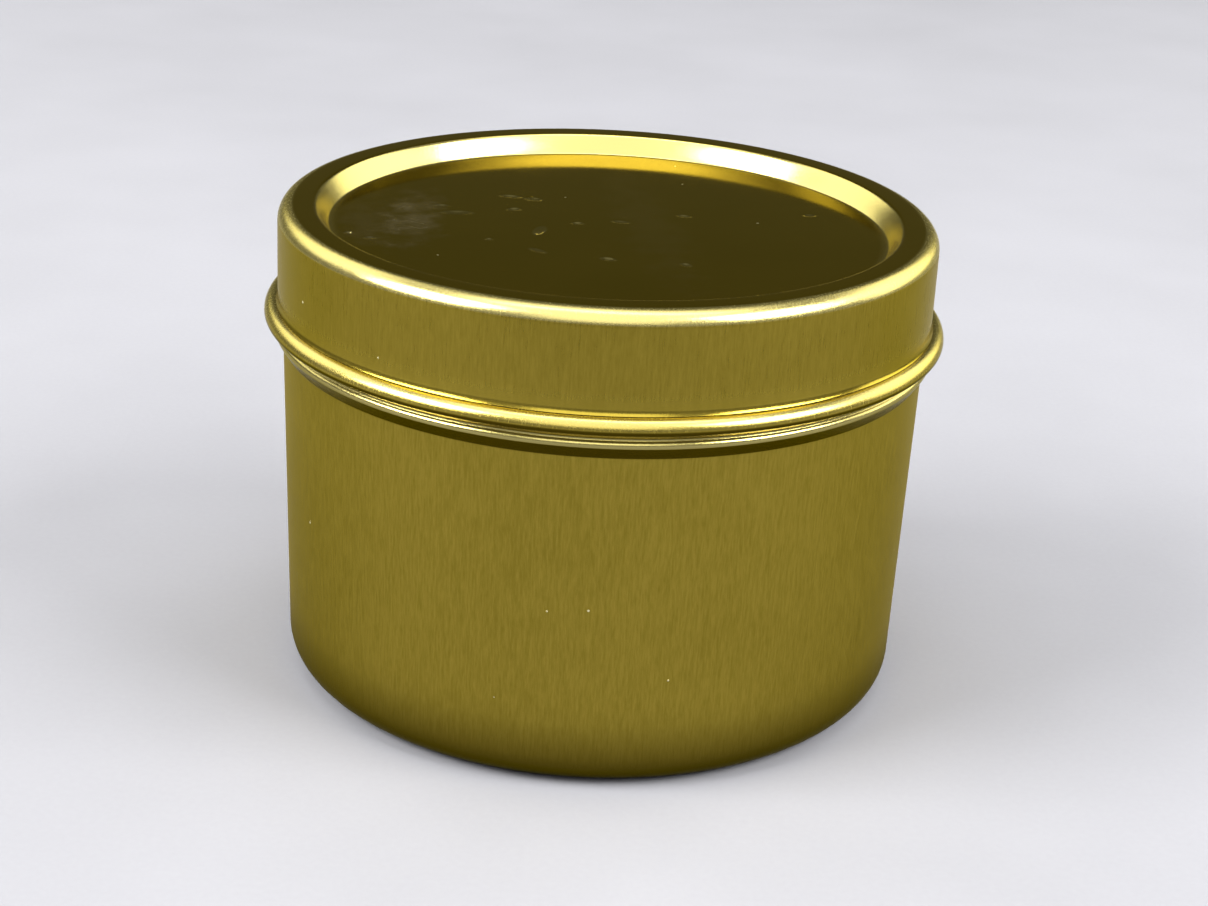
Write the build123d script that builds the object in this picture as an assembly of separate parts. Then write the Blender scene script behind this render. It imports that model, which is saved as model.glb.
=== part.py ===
from build123d import *
import os

# Round slip-lid candle tin: a seamless drawn body and a seamless drawn lid.
# Millimetres, +Z up, origin on the floor at the centre of the base.

# Sheet metal shared by both pieces
SHEET = 0.25              # thickness of the tinplate

# Body
BODY_RADIUS = 37.8        # outside of the wall under the ridge, and of the neck
WALL_TAPER = 0.85         # how much smaller the wall would be at the floor
BASE_CORNER = 4.0         # outside radius where the wall turns into the base
FOOT_WIDTH = 3.4          # flat ring that the tin stands on
BASE_RISE = 0.8           # lift of the base's centre panel above the floor
BASE_STEP = 1.2           # radial width of the slope between foot and centre panel
BASE_BEND = 0.9           # bend radius on both ends of that slope
BEAD_TOP = 45.17          # top of the bead that stops the lid, above the floor
BEAD_PROUD = 2.2          # how far the bead stands out from the wall
BEAD_BROW = 1.3           # radius of the bead's rounded top edge
BEAD_SIDE = 1.57          # from the bead's top down to where its underside starts
BEAD_TIP = 0.4            # bend radius from the bead's side to its underside
BEAD_ROOT = 0.5           # bend radius from the bead's top into the neck
GROOVE_DROP = 2.57        # from the bead's top down to the groove under it
GROOVE_PROUD = 0.55       # how far the groove still stands out from the wall
GROOVE_BEND = 0.2         # bend radius in the groove
RIDGE_DROP = 3.22         # from the bead's top down to the crest of the small ridge
RIDGE_PROUD = 1.2         # how far that crest stands out before it is rounded
RIDGE_CREST = 0.6         # radius of the rounded crest
RIDGE_FOOT = 4.97         # from the bead's top down to where the ridge meets the wall
RIDGE_ROOT = 0.8          # bend radius where the ridge meets the wall
NECK_LENGTH = 10.63       # from the bead's top to the top of the folded rim
RIM_FOLD = 1.2            # width of the rim, where the sheet is folded inwards
RIM_LEG = 2.4             # from the rim's top down to the end of the folded leg
HALF_ROUND = 0.4999       # bend radius over the fold's width that makes it a half round

# Lid
LID_CLEARANCE = 0.4       # between the neck and the top of the lid's skirt
SEAT_GAP = 0.06           # between the bead and the lid's bottom edge
RIM_GAP = 0.45            # between the folded rim and the lid's flat ring
SKIRT_FLARE = 0.23        # how much the skirt opens towards its bottom edge
SHOULDER = 1.85           # outside radius from the skirt to the flat ring
RING_WIDTH = 4.25         # from the skirt in to the recess
RECESS_DEPTH = 2.3        # from the flat ring down to the centre panel
RECESS_SLOPE = 1.6        # how much narrower the recess is at the panel
RECESS_BROW = 0.7         # bend radius from the flat ring into the recess
RECESS_ROOT = 0.35        # bend radius from the sloping side into the panel

# Places that the pieces share
rim_top = BEAD_TOP + NECK_LENGTH
lid_bottom = BEAD_TOP + SEAT_GAP
lid_top = rim_top + RIM_GAP + SHEET
lid_radius = BODY_RADIUS + LID_CLEARANCE + SHEET


def beside(points, radii, gap):
    """A bent line moved to its left by the gap, with each bend's radius changed to stay parallel."""
    corners = [Vector(*point) for point in points]
    runs = [(end - start).normalized() for start, end in zip(corners, corners[1:])]
    lefts = [Vector(-run.Y, run.X) for run in runs]
    moved = [corners[0] + lefts[0] * gap]
    for corner, before, after in zip(corners[1:], lefts, lefts[1:]):
        moved.append(corner + (before + after) * (gap / (1 + before.dot(after))))
    moved.append(corners[-1] + lefts[-1] * gap)
    turns = [before.cross(after).Z for before, after in zip(runs, runs[1:])]
    bends = [radius - gap if turn > 0 else radius + gap for radius, turn in zip(radii, turns)]
    return moved, bends


def half_arcs(line):
    """The edges of a bent line, with each bend over a radian drawn as two arcs."""
    edges = []
    for edge in line.edges():
        if edge.geom_type == GeomType.CIRCLE and edge.length > edge.radius:
            edges += [edge.trim(0, 0.5), edge.trim(0.5, 1)]
        else:
            edges.append(edge)
    return edges


def spin_sheet(points, radii, thickness):
    """Bend sheet along a line of corners, its thickness to the line's left, and turn it about Z."""
    moved, bends = beside(points, radii, thickness)
    face_side = FilletPolyline(*points, radius=radii)
    back_side = FilletPolyline(*moved, radius=bends)
    start_edge = Line(points[0], moved[0])
    end_edge = Line(points[-1], moved[-1])
    section = make_face([*half_arcs(face_side), end_edge, *half_arcs(back_side), start_edge])
    return revolve(Plane.XZ * section, Axis.Z, clean=False)


def make_body():
    """The cup: base, wall, ridge, groove, stop bead, neck and folded rim, traced along its outside."""
    base_radius = BODY_RADIUS - WALL_TAPER
    foot_inner = base_radius - BASE_CORNER - FOOT_WIDTH
    groove_radius = BODY_RADIUS + GROOVE_PROUD
    ridge_radius = BODY_RADIUS + RIDGE_PROUD
    bead_radius = BODY_RADIUS + BEAD_PROUD
    mouth_radius = BODY_RADIUS - RIM_FOLD
    rim_round = HALF_ROUND * RIM_FOLD
    corners = [
        ((foot_inner - BASE_STEP, BASE_RISE), BASE_BEND),
        ((foot_inner, 0), BASE_BEND),
        ((base_radius, 0), BASE_CORNER),
        ((BODY_RADIUS, BEAD_TOP - RIDGE_FOOT), RIDGE_ROOT),
        ((ridge_radius, BEAD_TOP - RIDGE_DROP), RIDGE_CREST),
        ((groove_radius, BEAD_TOP - GROOVE_DROP), GROOVE_BEND),
        ((bead_radius, BEAD_TOP - BEAD_SIDE), BEAD_TIP),
        ((bead_radius, BEAD_TOP), BEAD_BROW),
        ((BODY_RADIUS, BEAD_TOP), BEAD_ROOT),
        ((BODY_RADIUS, rim_top), rim_round),
        ((mouth_radius, rim_top), rim_round),
    ]
    points = [(0, BASE_RISE)] + [place for place, bend in corners]
    points.append((mouth_radius, rim_top - RIM_LEG))
    return spin_sheet(points, [bend for place, bend in corners], SHEET)


def make_lid():
    """The slip lid: recessed panel, flat ring, shoulder and skirt, traced along its outside."""
    ring_inner = lid_radius - RING_WIDTH
    panel_height = lid_top - RECESS_DEPTH
    skirt_radius = lid_radius + SKIRT_FLARE
    corners = [
        ((ring_inner - RECESS_SLOPE, panel_height), RECESS_ROOT),
        ((ring_inner, lid_top), RECESS_BROW),
        ((lid_radius, lid_top), SHOULDER),
    ]
    points = [(0, panel_height)] + [place for place, bend in corners]
    points.append((skirt_radius, lid_bottom))
    return spin_sheet(points, [bend for place, bend in corners], -SHEET)


nodes = {
    "tin_body": make_body(),
    "lid": make_lid(),
}

os.makedirs("parts", exist_ok=True)
for name, solid in nodes.items():
    export_step(solid, f"parts/{name}.step")
    print(name, round(solid.volume, 1), "mm3", solid.bounding_box())
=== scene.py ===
"""Looks for the round slip-lid candle tin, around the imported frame. Metres, +Z up, lid closed at rest."""

import math

import bmesh
import bpy
from mathutils import Matrix, Quaternion, Vector


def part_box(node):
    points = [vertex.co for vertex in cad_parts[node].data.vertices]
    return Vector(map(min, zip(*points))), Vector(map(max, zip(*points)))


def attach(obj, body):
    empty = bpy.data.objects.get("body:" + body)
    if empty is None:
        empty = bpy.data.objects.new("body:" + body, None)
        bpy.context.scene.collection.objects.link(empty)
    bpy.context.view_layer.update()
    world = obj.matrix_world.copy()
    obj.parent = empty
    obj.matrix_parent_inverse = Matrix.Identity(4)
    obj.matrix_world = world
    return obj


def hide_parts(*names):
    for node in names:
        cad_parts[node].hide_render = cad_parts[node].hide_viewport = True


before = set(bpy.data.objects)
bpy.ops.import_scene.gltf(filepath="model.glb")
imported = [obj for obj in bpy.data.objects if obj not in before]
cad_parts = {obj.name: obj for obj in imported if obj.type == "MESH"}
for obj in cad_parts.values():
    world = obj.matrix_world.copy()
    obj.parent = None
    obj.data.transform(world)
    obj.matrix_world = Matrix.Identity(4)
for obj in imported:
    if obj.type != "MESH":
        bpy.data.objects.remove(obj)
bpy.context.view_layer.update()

MM = 0.001

# Sheet metal profile sizes, as the CAD part has them
SHEET = 0.25 * MM
WALL_TAPER = 0.85 * MM
BASE_CORNER = 4.0 * MM
FOOT_WIDTH = 3.4 * MM
BASE_RISE = 0.8 * MM
BASE_STEP = 1.2 * MM
BASE_BEND = 0.9 * MM
BEAD_PROUD = 2.2 * MM
BEAD_BROW = 1.3 * MM
BEAD_SIDE = 1.57 * MM
BEAD_TIP = 0.4 * MM
BEAD_ROOT = 0.5 * MM
GROOVE_DROP = 2.57 * MM
GROOVE_PROUD = 0.55 * MM
GROOVE_BEND = 0.2 * MM
RIDGE_DROP = 3.22 * MM
RIDGE_PROUD = 1.2 * MM
RIDGE_CREST = 0.6 * MM
RIDGE_FOOT = 4.97 * MM
RIDGE_ROOT = 0.8 * MM
NECK_LENGTH = 10.63 * MM
RIM_FOLD = 1.2 * MM
RIM_LEG = 2.4 * MM
HALF_ROUND = 0.4999              # bend radius over the fold's width that makes it a half round
LID_CLEARANCE = 0.4 * MM
SEAT_GAP = 0.06 * MM
SKIRT_FLARE = 0.23 * MM
SHOULDER = 1.85 * MM
RING_WIDTH = 4.25 * MM
RECESS_DEPTH = 2.3 * MM
RECESS_SLOPE = 1.6 * MM
RECESS_BROW = 0.7 * MM
RECESS_ROOT = 0.35 * MM

# Places read from the frame
body_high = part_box("tin_body")[1]
lid_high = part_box("lid")[1]
bead_radius = body_high.x
wall_radius = bead_radius - BEAD_PROUD
rim_top = body_high.z
bead_top = rim_top - NECK_LENGTH
lid_top = lid_high.z
lid_bottom = bead_top + SEAT_GAP
lid_radius = wall_radius + LID_CLEARANCE + SHEET
panel_height = lid_top - RECESS_DEPTH
panel_radius = lid_radius - RING_WIDTH - RECESS_SLOPE - RECESS_ROOT

ARC_STEP = math.radians(7.5)     # longest stretch of a bend between two rings
BODY_STEP = 2.2 * MM             # longest stretch between two rings on the body's outside
LID_STEP = 0.9 * MM              # longest stretch between two rings on the lid's outside
HIDDEN_STEP = 5 * MM             # longest stretch between two rings on the inside
AROUND = 320                     # faces around the tin
SCRAPE_DEPTH = 0.03 * MM         # a dent this deep has its lacquer scraped thin
DENT_CUTS = 5                    # cuts through each face that a dent touches
DENT_MARGIN = 0.35 * MM          # how far past a dent the faces are cut
BASE_SHADE_HEIGHT = 9 * MM                # height below which painted shade darkens the colour towards the floor
SKIRT_FADE = 2.4 * MM            # above the skirt's bottom edge, where its striated finish is full
FLARE_RISE = 0.35 * MM           # from the skirt's bottom edge up to the middle of its flare
FLARE_BEND = 1.35 * MM           # bend radius where the skirt turns out into the flare


# ---------------------------------------------------------------- shapes

def beside(points, radii, gap):
    """A bent line moved to its left by the gap, with each bend's radius changed to stay parallel."""
    runs = [(end - start).normalized() for start, end in zip(points, points[1:])]
    lefts = [Vector((-run.y, run.x)) for run in runs]
    moved = [points[0] + lefts[0] * gap]
    for corner, before, after in zip(points[1:], lefts, lefts[1:]):
        moved.append(corner + (before + after) * (gap / (1 + before.dot(after))))
    moved.append(points[-1] + lefts[-1] * gap)
    turns = [before.cross(after) for before, after in zip(runs, runs[1:])]
    bends = [radius - gap if turn > 0 else radius + gap for radius, turn in zip(radii, turns)]
    return moved, bends


def rounded(points, radii, longest):
    """Points along a line of corners, each rounded to its radius, with runs cut to the longest step."""
    line = [points[0]]
    for before, corner, after, radius in zip(points, points[1:], points[2:], radii):
        back = (before - corner).normalized()
        ahead = (after - corner).normalized()
        turn = math.pi - back.angle(ahead)
        reach = radius * math.tan(turn / 2)
        centre = corner + (back + ahead).normalized() * (radius / math.cos(turn / 2))
        start = corner + back * reach - centre
        side = 1 if back.cross(ahead) < 0 else -1
        steps = max(2, math.ceil(turn / ARC_STEP))
        for i in range(steps + 1):
            angle = side * turn * i / steps
            spun = Vector((start.x * math.cos(angle) - start.y * math.sin(angle),
                           start.x * math.sin(angle) + start.y * math.cos(angle)))
            line.append(centre + spun)
    line.append(points[-1])
    fine = [line[0]]
    for start, end in zip(line, line[1:]):
        cuts = max(1, math.ceil((end - start).length / longest))
        fine += [start.lerp(end, (i + 1) / cuts) for i in range(cuts)]
    return fine


def body_corners():
    """The outside of the body from the middle of its base to the end of the folded rim."""
    base_radius = wall_radius - WALL_TAPER
    foot_inner = base_radius - BASE_CORNER - FOOT_WIDTH
    rim_round = HALF_ROUND * RIM_FOLD
    return [
        (0, BASE_RISE, 0),
        (foot_inner - BASE_STEP, BASE_RISE, BASE_BEND),
        (foot_inner, 0, BASE_BEND),
        (base_radius, 0, BASE_CORNER),
        (wall_radius, bead_top - RIDGE_FOOT, RIDGE_ROOT),
        (wall_radius + RIDGE_PROUD, bead_top - RIDGE_DROP, RIDGE_CREST),
        (wall_radius + GROOVE_PROUD, bead_top - GROOVE_DROP, GROOVE_BEND),
        (bead_radius, bead_top - BEAD_SIDE, BEAD_TIP),
        (bead_radius, bead_top, BEAD_BROW),
        (wall_radius, bead_top, BEAD_ROOT),
        (wall_radius, rim_top, rim_round),
        (wall_radius - RIM_FOLD, rim_top, rim_round),
        (wall_radius - RIM_FOLD, rim_top - RIM_LEG, 0),
    ]


def lid_corners():
    """The outside of the lid from the middle of its panel to its bottom edge."""
    ring_inner = lid_radius - RING_WIDTH
    skirt = lid_radius + SKIRT_FLARE
    return [
        (0, panel_height, 0),
        (ring_inner - RECESS_SLOPE, panel_height, RECESS_ROOT),
        (ring_inner, lid_top, RECESS_BROW),
        (lid_radius, lid_top, SHOULDER),
        (lid_radius, lid_bottom + FLARE_RISE, FLARE_BEND),
        (skirt, lid_bottom, 0),
    ]


def sheet_outline(corners, thickness, longest):
    """The shown and the hidden face of the bent sheet, each as points that start at the axis."""
    points = [Vector((r, z)) for r, z, bend in corners]
    radii = [bend for r, z, bend in corners[1:-1]]
    moved, bends = beside(points, radii, thickness)
    shown = rounded(points, radii, longest)
    hidden = rounded(moved, bends, HIDDEN_STEP)
    return shown, hidden


def body_finish(radius, height):
    """How satin the body's drawn metal is, from 0 to 1, and how far its colour is paled for painted
    highlight (1) or darkened for painted shade (-1).
    """
    below = bead_top - height
    if radius < wall_radius - WALL_TAPER - BASE_CORNER:
        return 0.3, 0
    # painted shade: the colour darkens towards the floor
    if height < BASE_SHADE_HEIGHT:
        return 1, -1.2 * (1 - height / BASE_SHADE_HEIGHT)
    # painted highlight: the rolled rim is paled
    if height > rim_top - RIM_FOLD:
        return 0.5, 1
    if below < 0:
        return 0.85, 0
    # painted highlight on the bead's brow, fading downwards
    if below < BEAD_BROW:
        return 0.6, 1 - below / BEAD_BROW
    # painted shade in the groove under the bead
    if below < GROOVE_DROP - GROOVE_BEND:
        return 0.5, -1
    # painted highlight on the ridge's crest
    if below < RIDGE_DROP + RIDGE_CREST / 2:
        return 0.5, 1
    # painted shade under the ridge
    if below < RIDGE_FOOT:
        return 0.5, -1
    return 1, 0


def lid_finish(radius, height):
    """How satin the lid's metal is, from 0 on the rolled panel to 1, and how far its colour is paled for
    painted highlight (1) or darkened for painted shade (-1).
    """
    if radius < panel_radius:
        return 0, 0
    # painted highlight on the recess wall
    if radius < lid_radius - RING_WIDTH:
        return 0.45, 1
    if radius < lid_radius - SHOULDER:
        return 0.14, 0
    # painted highlight on the shoulder
    if height > lid_top - 0.8 * SHOULDER:
        return 0.6, 1
    # painted shade: the skirt is darkened a little, fading out at its bottom edge
    rise = (height - lid_bottom) / SKIRT_FADE
    return 0.28 + 0.47 * min(1, rise), -0.15 * min(1, rise)


def lathe(name, shown, hidden, finish_at):
    """A closed mesh turned about Z from the shown face and the hidden face of the sheet.

    Point attributes: "satin" is the finish, the second one pales the colour for painted highlights and
    scraped dents (1) and darkens it for painted shade (-1), and "inside" is 1 on the hidden face."""
    outline = shown + hidden[::-1]
    mesh = bpy.data.meshes.new(name)
    bm = bmesh.new()
    satin = bm.verts.layers.float.new("satin")
    sheen_shade_scrape = bm.verts.layers.float.new("sheen_shade_scrape")
    inside = bm.verts.layers.float.new("inside")
    rings = []
    for k, point in enumerate(outline):
        count = 1 if point.x < 1e-9 else AROUND
        ring = []
        for i in range(count):
            angle = 2 * math.pi * (i + 0.5) / AROUND
            vert = bm.verts.new((point.x * math.cos(angle), point.x * math.sin(angle), point.y))
            vert[satin], vert[sheen_shade_scrape] = finish_at(point.x, point.y)
            vert[inside] = float(k >= len(shown))
            ring.append(vert)
        rings.append(ring)
    for low, high in zip(rings, rings[1:]):
        for i in range(AROUND):
            j = (i + 1) % AROUND
            if len(low) == 1:
                corners = (low[0], high[j], high[i])
            elif len(high) == 1:
                corners = (low[i], low[j], high[0])
            else:
                corners = (low[i], low[j], high[j], high[i])
            bm.faces.new(corners).smooth = True
    bmesh.ops.recalc_face_normals(bm, faces=bm.faces)
    bm.to_mesh(mesh)
    bm.free()
    mesh.set_sharp_from_angle(angle=math.radians(40))
    piece = bpy.data.objects.new(name, mesh)
    bpy.context.scene.collection.objects.link(piece)
    return piece


def press_dents(piece, height, dents):
    """Cut the flat face at a height finer around each dent, push it in and scrape its lacquer, which pales
    it.
    """
    bm = bmesh.new()
    bm.from_mesh(piece.data)
    sheen_shade_scrape = bm.verts.layers.float["sheen_shade_scrape"]
    for x, y, reach, depth, stretch, turn in dents:
        middle = Vector((x * MM, y * MM))
        span = reach * MM * max(1, stretch) + DENT_MARGIN
        near = [
            face for face in bm.faces
            if (face.calc_center_median().xy - middle).length < span
            and all(abs(vert.co.z - height) < 1e-6 for vert in face.verts)
        ]
        edges = {edge for face in near for edge in face.edges}
        bmesh.ops.subdivide_edges(bm, edges=list(edges), cuts=DENT_CUTS, use_grid_fill=True)
    for vert in bm.verts:
        if abs(vert.co.z - height) > 1e-6:
            continue
        sink = 0
        for x, y, reach, depth, stretch, turn in dents:
            away = Matrix.Rotation(-math.radians(turn), 2) @ (vert.co.xy - Vector((x * MM, y * MM)))
            level = math.hypot(away.x / stretch, away.y) / (reach * MM)
            sink += depth * MM * max(0, 1 - level * level) ** 2
        vert.co.z -= sink
        vert[sheen_shade_scrape] = max(vert[sheen_shade_scrape], min(1, sink / SCRAPE_DEPTH))
    for face in bm.faces:
        face.smooth = True
    bm.to_mesh(piece.data)
    bm.free()


# ---------------------------------------------------------------- materials

class Nodes:
    """Adds nodes to one node tree and joins them."""

    def __init__(self, tree):
        self.tree = tree

    def put(self, value, socket):
        """Join an output to the socket, or set the socket's own value."""
        if isinstance(value, bpy.types.NodeSocket):
            self.tree.links.new(value, socket)
        else:
            socket.default_value = value

    def add(self, kind, sockets=(), **settings):
        """A new node with its settings and its input sockets filled."""
        node = self.tree.nodes.new("ShaderNode" + kind)
        for key, value in settings.items():
            setattr(node, key, value)
        for socket, value in dict(sockets).items():
            self.put(value, node.inputs[socket])
        return node

    def attribute(self, name):
        return self.add("Attribute", attribute_name=name).outputs["Fac"]

    def sized(self, place, sizes, turn=0, start=(0, 0, 0)):
        """Coordinates counted in units of the given sizes in mm, turned about Z by degrees."""
        scale = [1 / (size * MM) for size in sizes]
        sockets = {"Vector": place, "Rotation": (0, 0, math.radians(turn)), "Location": start}
        turned = self.add("Mapping", sockets).outputs["Vector"]
        return self.add("Mapping", {"Vector": turned, "Scale": scale}).outputs["Vector"]

    def noise(self, place, detail=2.0, rough=0.5):
        sockets = {"Vector": place, "Scale": 1.0, "Detail": detail, "Roughness": rough}
        return self.add("TexNoise", sockets).outputs["Fac"]

    def ramp(self, value, low, high, to_low=0.0, to_high=1.0, soft=False):
        """The value's range from low to high stretched to another range and held within it."""
        sockets = {"Value": value, "From Min": low, "From Max": high, "To Min": to_low, "To Max": to_high}
        kind = "SMOOTHSTEP" if soft else "LINEAR"
        return self.add("MapRange", sockets, interpolation_type=kind).outputs["Result"]

    def math(self, operation, a, b=0.0):
        return self.add("Math", {0: a, 1: b}, operation=operation).outputs[0]

    def tint(self, factor, a, b):
        """A mix of two colours."""
        node = self.add("Mix", data_type="RGBA")
        self.put(factor, node.inputs[0])
        self.put(a if isinstance(a, bpy.types.NodeSocket) else (*a, 1), node.inputs[6])
        self.put(b if isinstance(b, bpy.types.NodeSocket) else (*b, 1), node.inputs[7])
        return node.outputs[2]


def new_material(name):
    """An empty node material, its shader and a helper for its nodes."""
    material = bpy.data.materials.new(name)
    material.use_nodes = True
    return material, material.node_tree.nodes["Principled BSDF"], Nodes(material.node_tree)


def gold_lacquer(name, wear_side, hazes=()):
    """Gold-lacquered tinplate: glossy where it is only rolled, striated and satin where it is drawn.

    Each haze is a pale, rougher patch of the rolled metal: x, y, reach in X and Y in mm, turn, strength."""
    material, shader, nodes = new_material(name)
    place = nodes.add("TexCoord").outputs["Object"]
    satin = nodes.attribute("satin")
    sheen_shade_scrape = nodes.attribute("sheen_shade_scrape")
    inside = nodes.attribute("inside")

    # striations left by drawing, a finer set over them, grain, and slow drifts in tone
    streak = nodes.noise(nodes.sized(place, (0.28, 0.28, 3.0)), 2.0, 0.55)
    hairs = nodes.noise(nodes.sized(place, (0.14, 0.14, 1.1), start=(0.03, 0.01, 0)), 1.0)
    grain = nodes.noise(nodes.sized(place, (0.12, 0.12, 0.12)), 2.0, 0.6)
    cloud = nodes.noise(nodes.sized(place, (17, 17, 13), start=(wear_side, 0, 0)), 2.0, 0.5)

    drawn = nodes.ramp(streak, 0.3, 0.7, -1.0, 1.0)
    fine = nodes.ramp(hairs, 0.3, 0.7, -1.0, 1.0)
    speckle = nodes.ramp(grain, 0.3, 0.7, -1.0, 1.0)
    slow = nodes.ramp(cloud, 0.3, 0.7, -1.0, 1.0)
    lines = nodes.math("MULTIPLY", nodes.math("ADD", drawn, nodes.math("MULTIPLY", fine, 0.6)), satin)
    streaks = nodes.math("MULTIPLY", lines, STREAK_TONE)
    tone = nodes.math("ADD", streaks, nodes.math("MULTIPLY", slow, CLOUD_TONE))
    tone = nodes.math("ADD", tone, nodes.math("MULTIPLY", speckle, GRAIN_TONE))
    colour = nodes.tint(nodes.math("ADD", tone, 0.5), GOLD_DARK, GOLD_LIGHT)
    # painted highlight: paler colour on rims, brows and crests, and on lacquer scraped in dents
    colour = nodes.tint(nodes.ramp(sheen_shade_scrape, 0, 1), colour, GOLD_SHEEN_AND_SCRAPE)
    # painted shade: darker colour under the bead and ridge, on the skirt and towards the floor
    colour = nodes.tint(nodes.ramp(sheen_shade_scrape, 0, -1), colour, GOLD_PAINTED_SHADE)
    colour = nodes.tint(nodes.ramp(inside, 0, 1, 0, 0.5), colour, GOLD_INSIDE)

    # dust and tiny lacquer nibs, about one to a square of 7 mm
    cells = nodes.sized(place, (DUST_CELL, DUST_CELL, DUST_CELL))
    dots = nodes.add("TexVoronoi", {"Vector": cells, "Scale": 1.0})
    lot = nodes.add("SeparateXYZ", {0: dots.outputs["Color"]})
    chosen = nodes.math("GREATER_THAN", lot.outputs[0], DUST_SHARE)
    size = nodes.ramp(lot.outputs[1], 0, 1, *DUST_SIZE)
    dust = nodes.math("MULTIPLY", nodes.math("LESS_THAN", dots.outputs["Distance"], size), chosen)
    dust = nodes.math("MULTIPLY", dust, nodes.ramp(inside, 0, 1, 0.75, 0))
    colour = nodes.tint(dust, colour, DUST)

    # hazy patches with ragged edges
    ragged = nodes.noise(nodes.sized(place, (3.2, 3.2, 3.2)), 3.0, 0.65)
    haze = 0.0
    for x, y, long, wide, turn, strength in hazes:
        middle = (x * MM, y * MM, panel_height)
        centred = nodes.add("VectorMath", {0: place, 1: middle}, operation="SUBTRACT")
        spot = nodes.sized(centred.outputs["Vector"], (long, wide, 4), turn=turn)
        away = nodes.add("VectorMath", {0: spot}, operation="LENGTH").outputs["Value"]
        level = nodes.math("ADD", away, nodes.ramp(ragged, 0.3, 0.7, -0.5, 0.5))
        haze = nodes.math("ADD", haze, nodes.ramp(level, 1.3, 0.0, 0.0, strength, soft=True))
    haze = nodes.math("MULTIPLY", haze, nodes.ramp(satin, 0.0, 0.1, 1.0, 0.0))
    haze = nodes.math("MULTIPLY", haze, nodes.ramp(inside, 0, 1, 1, 0))
    colour = nodes.tint(haze, colour, HAZE)

    # faint scuffs on the rolled faces
    scuff = nodes.noise(nodes.sized(place, (0.05, 9, 9), turn=35), 1.0)
    cross = nodes.noise(nodes.sized(place, (0.06, 12, 12), turn=-64, start=(0.02, 0.05, 0)), 1.0)
    scuffs = nodes.math("ADD", nodes.ramp(scuff, 0.68, 0.74), nodes.ramp(cross, 0.7, 0.76))
    flat = nodes.ramp(satin, 0.0, 0.3, 1.0, 0.0)
    scuffs = nodes.math("MULTIPLY", scuffs, flat)

    rough = nodes.ramp(satin, 0, 1, GLOSSY, SATIN)
    rough = nodes.math("ADD", rough, nodes.math("MULTIPLY", lines, 0.035))
    rough = nodes.math("ADD", rough, nodes.math("MULTIPLY", slow, 0.012))
    rough = nodes.math("ADD", rough, nodes.math("MULTIPLY", scuffs, 0.10))
    rough = nodes.math("ADD", rough, nodes.math("MULTIPLY", dust, 0.3))
    rough = nodes.math("ADD", rough, nodes.math("MULTIPLY", haze, 0.35))

    relief = nodes.math("MULTIPLY", nodes.math("ADD", nodes.math("MULTIPLY", lines, 0.5), speckle), 0.5)
    relief = nodes.math("ADD", relief, nodes.math("MULTIPLY", dust, 4.0))
    relief = nodes.math("MULTIPLY", relief, nodes.ramp(satin, 0, 1, 0.12, 1.0))
    bump = nodes.add("Bump", {"Height": relief, "Distance": RELIEF, "Strength": 1.0})

    nodes.put(colour, shader.inputs["Base Color"])
    nodes.put(rough, shader.inputs["Roughness"])
    nodes.put(bump.outputs["Normal"], shader.inputs["Normal"])
    nodes.put(nodes.ramp(satin, 0.6, 0.85, 0, STRETCHED), shader.inputs["Anisotropic"])
    around = nodes.add("Tangent", direction_type="RADIAL", axis="Z")
    nodes.put(around.outputs["Tangent"], shader.inputs["Tangent"])
    shader.inputs["Metallic"].default_value = 1
    shader.inputs["Specular Tint"].default_value = EDGE_TINT
    return material


GOLD_DARK = (0.218, 0.163, 0.018)
GOLD_LIGHT = (0.288, 0.217, 0.030)
# paled gold for painted highlights, and for lacquer scraped in dents
GOLD_SHEEN_AND_SCRAPE = (0.33, 0.28, 0.098)
# dark gold for painted shade
GOLD_PAINTED_SHADE = (0.055, 0.038, 0.002)
GOLD_INSIDE = (0.42, 0.33, 0.075)
EDGE_TINT = (0.80, 0.74, 0.48, 1)
DUST = (0.75, 0.70, 0.45)
DUST_CELL = 4.5                  # mm between specks' cells
DUST_SHARE = 0.6                 # share of the cells without a speck
DUST_SIZE = (0.018, 0.04)        # radius of a speck, as a share of its cell
HAZE = (0.52, 0.47, 0.40)
GLOSSY = 0.07
SATIN = 0.38
STRETCHED = 0.7
STREAK_TONE = 0.42
CLOUD_TONE = 0.14
GRAIN_TONE = 0.10
RELIEF = 0.007 * MM

# ---------------------------------------------------------------- the pieces

body = lathe("tin_body_skin", *sheet_outline(body_corners(), SHEET, BODY_STEP), body_finish)
body.data.materials.append(gold_lacquer("body_gold_lacquer", 0))
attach(body, "tin")
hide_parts("tin_body")

# knocks in the lid's panel: x, y, reach, depth in mm, stretch along the turned X, and turn in degrees
PANEL_DENTS = [
    (-29.6, -7.9, 0.65, 0.18, 1, 0),
    (-27, -9.4, 0.61, 0.13, 1.5, 10),
    (-20, 5.2, 0.65, 0.15, 1.8, 0),
    (-18, 2.6, 0.97, 0.20, 2.4, 8),
    (-12.1, 10.7, 0.78, 0.20, 2.2, -8),
    (-11.4, 5.2, 0.78, 0.21, 1.4, 20),
    (-9.3, 10, 0.90, 0.22, 1.5, -12),
    (-3.7, 0.6, 0.65, 0.18, 1.4, 5),
    (-8, -3.1, 0.86, 0.20, 2.6, 80),
    (-7.9, -11, 0.65, 0.15, 2.4, -40),
    (-13.6, -7.6, 0.57, 0.15, 1, 0),
    (1.3, 2.1, 0.69, 0.15, 2, -10),
    (0.1, -12.9, 0.73, 0.22, 1.6, -20),
    (8.9, 5.9, 0.65, 0.17, 1.8, -15),
    (8.8, -13.6, 0.69, 0.18, 1.3, -40),
    (24.1, 9, 0.65, 0.13, 1.6, 10),
]

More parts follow.
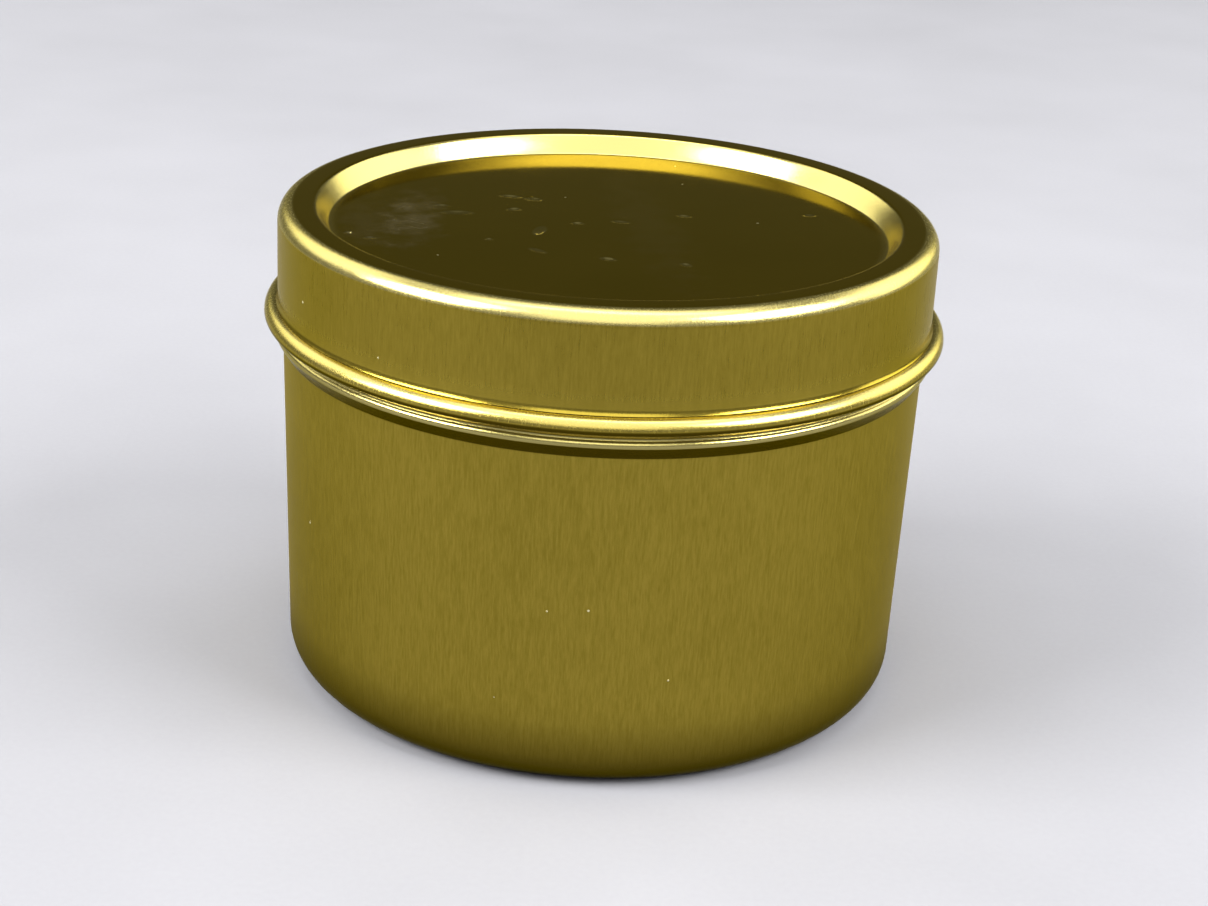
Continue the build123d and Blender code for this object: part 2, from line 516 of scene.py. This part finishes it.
# hazes on the panel: x, y, reach in X and Y in mm, turn in degrees, and strength
PANEL_HAZES = [
    (-23.0, -1.0, 3.6, 11, 0, 0.34),
    (-27.5, -3.0, 4.5, 10, 0, 0.16),
    (4.5, 2.0, 4.0, 24, -10, 0.07),
]

lid = lathe("lid_skin", *sheet_outline(lid_corners(), -SHEET, LID_STEP), lid_finish)
press_dents(lid, panel_height, PANEL_DENTS)
lid.data.materials.append(gold_lacquer("lid_gold_lacquer", 40, PANEL_HAZES))
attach(lid, "lid")
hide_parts("lid")

# ---------------------------------------------------------------- floor, light and camera

FLOOR_DARK = (0.120, 0.120, 0.128)
FLOOR_LIGHT = (0.133, 0.133, 0.142)
FLOOR_DROP = 0.02 * MM           # keeps the paper off the tin's foot


def pale_floor():
    """A sheet of pale paper under and behind the tin."""
    bpy.ops.mesh.primitive_plane_add(size=6)
    floor = bpy.context.object
    floor.name = "floor"
    floor.location.z = -FLOOR_DROP
    material, shader, nodes = new_material("pale_paper")
    place = nodes.add("TexCoord").outputs["Object"]
    mottle = nodes.noise(nodes.sized(place, (60, 60, 60)), 3.0, 0.55)
    fibre = nodes.noise(nodes.sized(place, (0.8, 0.8, 0.8)), 3.0, 0.6)
    shade = nodes.math("ADD", nodes.math("MULTIPLY", mottle, 0.7), nodes.math("MULTIPLY", fibre, 0.3))
    paper = nodes.tint(nodes.ramp(shade, 0.35, 0.65), FLOOR_DARK, FLOOR_LIGHT)
    nodes.put(paper, shader.inputs["Base Color"])
    shader.inputs["Roughness"].default_value = 0.85
    floor.data.materials.append(material)
    return floor


def softbox(name, azimuth, elevation, distance, width, height, power):
    """A rectangular light that faces the tin from a bearing, in degrees, with 0 at the camera's side."""
    light = bpy.data.lights.new(name, "AREA")
    light.shape = "RECTANGLE"
    light.size = width
    light.size_y = height
    light.energy = power
    lamp = bpy.data.objects.new(name, light)
    bearing = math.radians(azimuth)
    rise = math.radians(elevation)
    level = math.cos(rise)
    away = Vector((math.sin(bearing) * level, -math.cos(bearing) * level, math.sin(rise)))
    lamp.location = away * distance + Vector((0, 0, 0.03))
    lamp.rotation_euler = (-away).to_track_quat("-Z", "Y").to_euler()
    lamp.visible_camera = False
    bpy.context.scene.collection.objects.link(lamp)
    return lamp


CAMERA_AWAY = 7.0                # wall radii from the tin's axis
CAMERA_HEIGHT = 3.49             # wall radii above the floor
CAMERA_TURN = (0.003, 0.3821, 0.052)     # yaw, pitch and roll in radians
SENSOR_WIDTH = 36                # mm
LENS = 69.899007                 # focal length in mm


def main_camera():
    """The camera at the picture's viewing angle."""
    distance = CAMERA_AWAY * wall_radius
    height = CAMERA_HEIGHT * wall_radius
    yaw, pitch, roll = CAMERA_TURN
    sight = Vector((math.sin(yaw) * math.cos(pitch), math.cos(yaw) * math.cos(pitch), -math.sin(pitch)))
    camera = bpy.data.objects.new("camera", bpy.data.cameras.new("camera"))
    camera.data.sensor_width = SENSOR_WIDTH
    camera.data.lens = LENS
    camera.data.clip_start = 0.01
    camera.location = (0, -distance, height)
    turned = sight.to_track_quat("-Z", "Y") @ Quaternion((0, 0, 1), roll)
    camera.rotation_euler = turned.to_euler()
    bpy.context.scene.collection.objects.link(camera)
    bpy.context.scene.camera = camera


def studio_world():
    """A soft bright room with a dark opening behind the tin, which the lid's flat faces mirror."""
    world = bpy.data.worlds.new("studio")
    bpy.context.scene.world = world
    world.use_nodes = True
    nodes = Nodes(world.node_tree)
    direction = nodes.add("TexCoord").outputs["Generated"]
    back = Vector((0, math.cos(OPENING_RISE), math.sin(OPENING_RISE)))
    toward = nodes.add("VectorMath", {0: direction, 1: back}, operation="DOT_PRODUCT").outputs["Value"]
    edge = nodes.ramp(toward, math.cos(OPENING_OUTER), math.cos(OPENING_INNER), soft=True)
    front = nodes.add("SeparateXYZ", {0: direction}).outputs[1]
    room = nodes.tint(nodes.ramp(front, -0.9, 0.8), ROOM_FRONT, ROOM_BACK)
    colour = nodes.tint(edge, room, ROOM_OPENING)
    nodes.put(colour, world.node_tree.nodes["Background"].inputs["Color"])


OPENING_RISE = math.radians(16)
OPENING_INNER = math.radians(22)
OPENING_OUTER = math.radians(45)
ROOM_FRONT = (0.52, 0.52, 0.53)
ROOM_BACK = (0.36, 0.36, 0.37)
ROOM_OPENING = (0.16, 0.155, 0.13)

pale_floor()
studio_world()
softbox("overhead_softbox", 0, 80, 1.1, 1.1, 1.5, 15)
softbox("zenith_strip", 0, 88, 1.08, 0.9, 0.22, 5)
softbox("front_softbox", 0, 33, 1.2, 0.9, 0.55, 4.8)
softbox("front_right_softbox", 66, 38, 1.2, 0.7, 0.6, 40)
softbox("front_left_softbox", -68, 38, 1.2, 0.7, 0.6, 46)
softbox("back_right_softbox", 122, 24, 1.2, 1.1, 0.85, 13)
softbox("back_left_softbox", -128, 34, 1.2, 0.9, 0.8, 8)
bpy.context.scene.view_settings.view_transform = "Standard"
main_camera()
